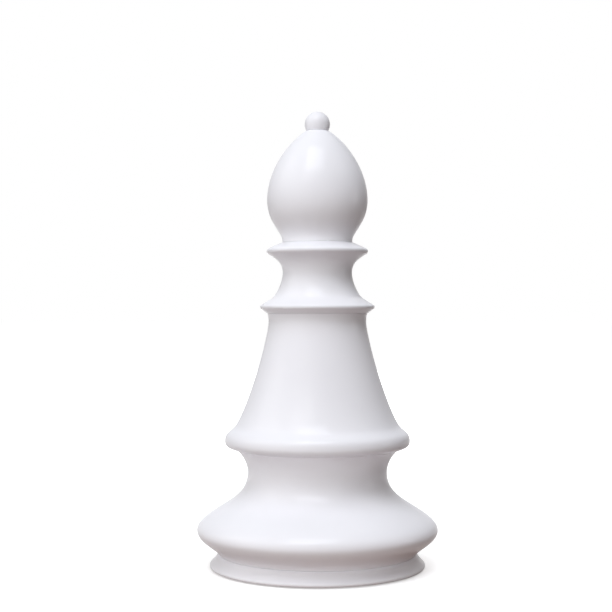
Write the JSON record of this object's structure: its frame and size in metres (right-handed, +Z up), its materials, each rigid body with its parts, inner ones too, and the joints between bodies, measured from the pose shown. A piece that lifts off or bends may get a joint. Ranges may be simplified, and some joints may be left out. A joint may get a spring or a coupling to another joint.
{
  "type": "chess bishop",
  "caption": "White chess bishop turned in sections: ball finial, egg-shaped head, collared neck, flared bell with a ring, wide bulging base, thin foot and felt.",
  "frame": {"origin": "on the board, under the middle of the felt pad", "axes": "+Z up along the axis of the piece; the piece is round about it, so +X and +Y have no preferred side"},
  "size_m": [0.0368, 0.0368, 0.0698],
  "materials": {
    "white_plastic": "satin white plastic, evenly polished, with soft highlights",
    "weight_steel": "plain turned steel",
    "grey_felt": "short-pile pressed felt"
  },
  "bodies": {
    "root": {"finial_ball": "white_plastic", "mitre_head": "white_plastic", "collar_spool": "white_plastic", "bell_stem": "white_plastic", "pedestal_base": "white_plastic", "weight_slug": "weight_steel", "foot_disc": "white_plastic", "felt_pad": "grey_felt"}
  },
  "joints": []
}
